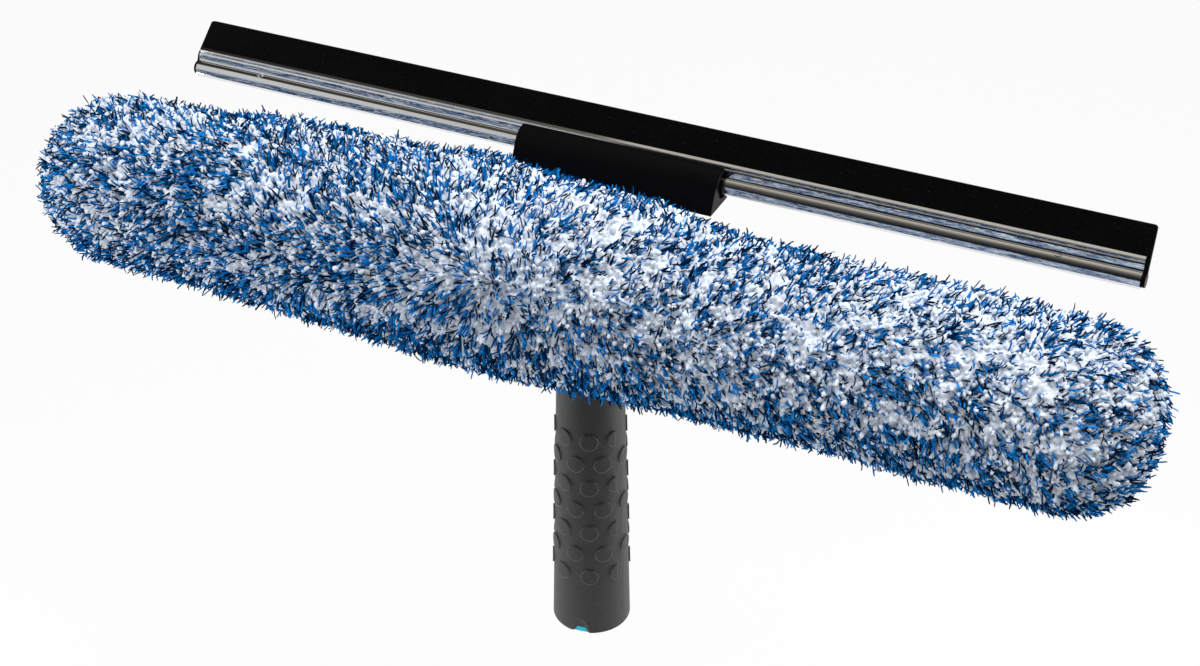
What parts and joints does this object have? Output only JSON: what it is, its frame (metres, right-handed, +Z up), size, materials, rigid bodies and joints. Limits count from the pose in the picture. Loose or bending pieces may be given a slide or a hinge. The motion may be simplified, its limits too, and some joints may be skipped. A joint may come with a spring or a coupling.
{
  "type": "window cleaning squeegee",
  "caption": "Two-sided window cleaning tool with a soft-grip handle, a microfibre scrubbing sleeve on a crossbar and a rubber blade in a clamped metal channel.",
  "frame": {"origin": "centre of the pole socket's mouth, at the bottom of the handle", "axes": "+Z up the handle, X along the blade and the crossbar, -Y towards the scrubbing side"},
  "size_m": [0.518, 0.1127, 0.2539],
  "materials": {
    "insert_plastic": "glossy teal plastic",
    "core_plastic": "plain moulded plastic",
    "grip_rubber": "fine-textured soft grip",
    "head_plastic": "smooth black moulded plastic",
    "bar_plastic": "black moulded plastic",
    "screw_steel": "zinc-plated steel",
    "channel_steel": "polished stainless steel",
    "blade_rubber": "smooth black rubber",
    "pile_fabric": "dense white and blue microfibre pile",
    "strip_fabric": "woven hook-and-loop strip"
  },
  "bodies": {
    "tool": {"pole_socket": "insert_plastic", "handle_core": "core_plastic", "grip": "grip_rubber", "neck_pin": "screw_steel", "head": "head_plastic", "clamp_plate": "head_plastic", "clamp_screws": "screw_steel", "crossbar": "bar_plastic", "cap_left": "bar_plastic", "cap_right": "bar_plastic", "saddle_screws": "screw_steel", "sleeve": "pile_fabric", "hook_strips": "strip_fabric", "loop_strips": "strip_fabric"},
    "channel": {"channel": "channel_steel"},
    "blade": {"rubber_blade": "blade_rubber"}
  },
  "joints": [
    {"name": "channel_slide", "type": "slide", "parent": "tool", "child": "channel", "axis": [1, 0, 0], "range_m": [-0.185, 0.173]},
    {"name": "blade_slide", "type": "slide", "parent": "channel", "child": "blade", "axis": [1, 0, 0], "range_m": [-0.44, 0.44]}
  ]
}
